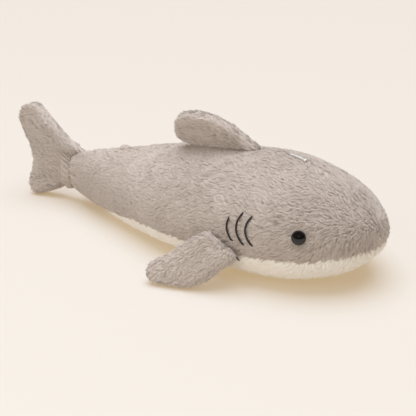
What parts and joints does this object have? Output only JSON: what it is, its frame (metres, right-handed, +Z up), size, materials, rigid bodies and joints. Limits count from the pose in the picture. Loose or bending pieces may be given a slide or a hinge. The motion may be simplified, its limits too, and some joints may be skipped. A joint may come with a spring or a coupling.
{
  "type": "plush_shark",
  "caption": "A soft plush shark lying on its belly: grey back and fins, pale belly, black dome eyes and stitched gill lines.",
  "frame": {"origin": "centre of the flat of the belly that rests on the table", "axes": "X towards the nose, Y towards the shark's left, Z up"},
  "size_m": [0.3555, 0.1868, 0.108],
  "materials": {
    "grey_plush": "matte",
    "cream_plush": "matte",
    "fibre_fill": "matte",
    "black_eye": "gloss",
    "washer_plastic": "satin",
    "dark_thread": "satin",
    "clear_plastic": "gloss"
  },
  "bodies": {
    "torso": {"back_panel_left": "grey_plush", "back_panel_right": "grey_plush", "belly_panel": "cream_plush", "body_stuffing": "fibre_fill", "tail_gather_band": "grey_plush", "back_seam_nub": "grey_plush", "tag_fastener": "clear_plastic", "eye_left": "black_eye", "eye_washer_left": "washer_plastic", "fin_root_thread_left": "dark_thread", "eye_right": "black_eye", "eye_washer_right": "washer_plastic", "fin_root_thread_right": "dark_thread", "gill_stitch_left_rear": "dark_thread", "gill_stitch_left_middle": "dark_thread", "gill_stitch_left_front": "dark_thread", "gill_stitch_right_rear": "dark_thread", "gill_stitch_right_middle": "dark_thread", "gill_stitch_right_front": "dark_thread"},
    "tail_fin": {"tail_panel_left": "grey_plush", "tail_panel_right": "grey_plush", "tail_stuffing": "fibre_fill"},
    "dorsal_fin": {"dorsal_panel_left": "grey_plush", "dorsal_panel_right": "grey_plush", "dorsal_stuffing": "fibre_fill"},
    "pectoral_fin_left": {"pectoral_left_over_panel": "grey_plush", "pectoral_left_under_panel": "grey_plush", "pectoral_left_stuffing": "fibre_fill"},
    "pectoral_fin_right": {"pectoral_right_over_panel": "grey_plush", "pectoral_right_under_panel": "grey_plush", "pectoral_right_stuffing": "fibre_fill"}
  },
  "joints": [
    {"name": "tail_swing", "type": "hinge", "parent": "torso", "child": "tail_fin", "pos_m": [-0.157, 0, 0], "axis": [0, 0, 1], "range_deg": [-35, 35], "stiffness_Nm_per_rad": 0.03},
    {"name": "dorsal_lean", "type": "hinge", "parent": "torso", "child": "dorsal_fin", "pos_m": [0.04004, -0.00374, 0.09202], "axis": [0.993, 0, 0.1182], "range_deg": [-35, 75], "stiffness_Nm_per_rad": 0.015},
    {"name": "pectoral_left_flap", "type": "hinge", "parent": "torso", "child": "pectoral_fin_left", "pos_m": [0.04698, 0.069, 0.02581], "axis": [0.8887, 0.04, -0.4568], "range_deg": [-5, 65], "stiffness_Nm_per_rad": 0.015},
    {"name": "pectoral_right_flap", "type": "hinge", "parent": "torso", "child": "pectoral_fin_right", "pos_m": [0.04698, -0.069, 0.02581], "axis": [-0.8887, 0.04, 0.4568], "range_deg": [-5, 65], "stiffness_Nm_per_rad": 0.015}
  ]
}
